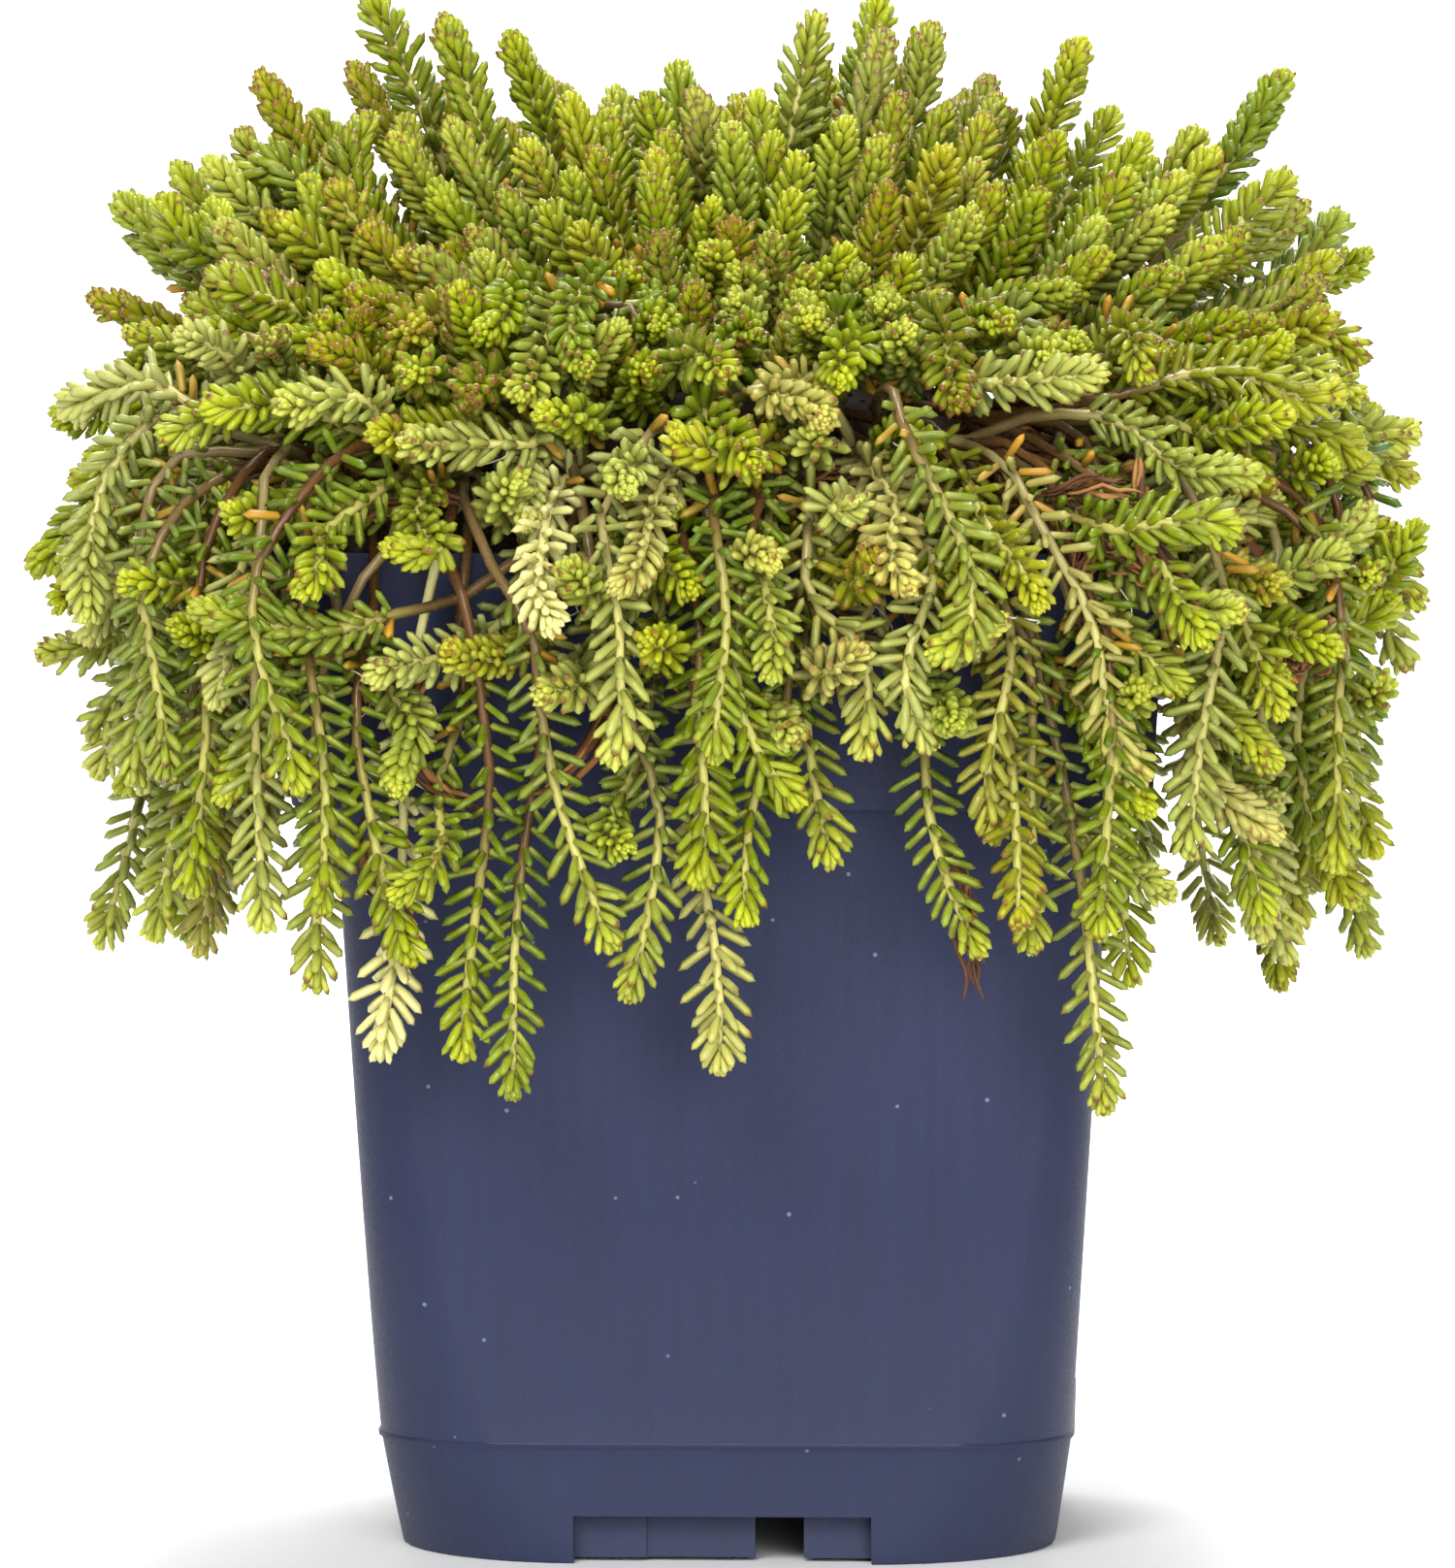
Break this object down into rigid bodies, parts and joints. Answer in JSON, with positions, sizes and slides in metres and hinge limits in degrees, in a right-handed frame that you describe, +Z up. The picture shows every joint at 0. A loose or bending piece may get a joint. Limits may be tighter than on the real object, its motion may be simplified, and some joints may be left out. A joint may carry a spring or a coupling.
{
  "type": "potted tasteless stonecrop",
  "caption": "Tasteless stonecrop, a low succulent with upright leafy spikes and long stems that hang over the rim, growing in a square tapered dark blue plastic nursery pot filled with soil.",
  "frame": {"origin": "on the ground under the middle of the object's box, which is within about a millimetre of the pot's axis", "axes": "+Z up along the pot's axis, -Y towards the side that the picture shows, +X to the right in it"},
  "size_m": [0.1751, 0.1741, 0.1952],
  "materials": {
    "pot_plastic": "satin",
    "potting_soil": "matte",
    "bare_roots": "matte",
    "upright_leaves": "satin",
    "hanging_leaves": "satin",
    "dry_seed_head": "matte",
    "dry_leaves": "matte"
  },
  "bodies": {
    "root": {"dried_leaf_clump": "dry_leaves", "dried_seed_head": "dry_seed_head", "pot": "pot_plastic", "root_mat": "bare_roots", "soil": "potting_soil", "stem_hanging_01": "hanging_leaves", "stem_hanging_02": "hanging_leaves", "stem_hanging_03": "hanging_leaves", "stem_hanging_04": "hanging_leaves", "stem_hanging_05": "hanging_leaves", "stem_hanging_06": "hanging_leaves", "stem_hanging_07": "hanging_leaves", "stem_hanging_08": "hanging_leaves", "stem_hanging_09": "hanging_leaves", "stem_hanging_10": "hanging_leaves", "stem_hanging_11": "hanging_leaves", "stem_hanging_12": "hanging_leaves", "stem_hanging_13": "hanging_leaves", "stem_hanging_14": "hanging_leaves", "stem_hanging_15": "hanging_leaves", "stem_hanging_16": "hanging_leaves", "stem_upright_01": "upright_leaves", "stem_upright_02": "upright_leaves", "stem_upright_03": "upright_leaves", "stem_upright_04": "upright_leaves", "stem_upright_05": "upright_leaves", "stem_upright_06": "upright_leaves", "stem_upright_07": "upright_leaves", "stem_upright_08": "upright_leaves", "stem_upright_09": "upright_leaves", "stem_upright_10": "upright_leaves", "stem_upright_11": "upright_leaves", "stem_upright_12": "upright_leaves", "stem_upright_13": "upright_leaves", "stem_upright_14": "upright_leaves", "stem_upright_15": "upright_leaves", "stem_upright_16": "upright_leaves", "stem_upright_17": "upright_leaves", "stem_upright_18": "upright_leaves", "stem_upright_19": "upright_leaves", "stem_upright_20": "upright_leaves", "stem_upright_21": "upright_leaves", "stem_upright_22": "upright_leaves", "stem_upright_23": "upright_leaves", "stem_upright_24": "upright_leaves", "stem_upright_25": "upright_leaves", "stem_upright_26": "upright_leaves", "stem_upright_27": "upright_leaves", "stem_upright_28": "upright_leaves", "stem_upright_29": "upright_leaves", "stem_upright_30": "upright_leaves", "stem_upright_31": "upright_leaves", "stem_upright_32": "upright_leaves", "stem_upright_33": "upright_leaves", "stem_upright_34": "upright_leaves", "stem_upright_35": "upright_leaves", "stem_upright_36": "upright_leaves", "stem_upright_37": "upright_leaves", "stem_upright_38": "upright_leaves", "stem_upright_39": "upright_leaves"}
  },
  "joints": []
}
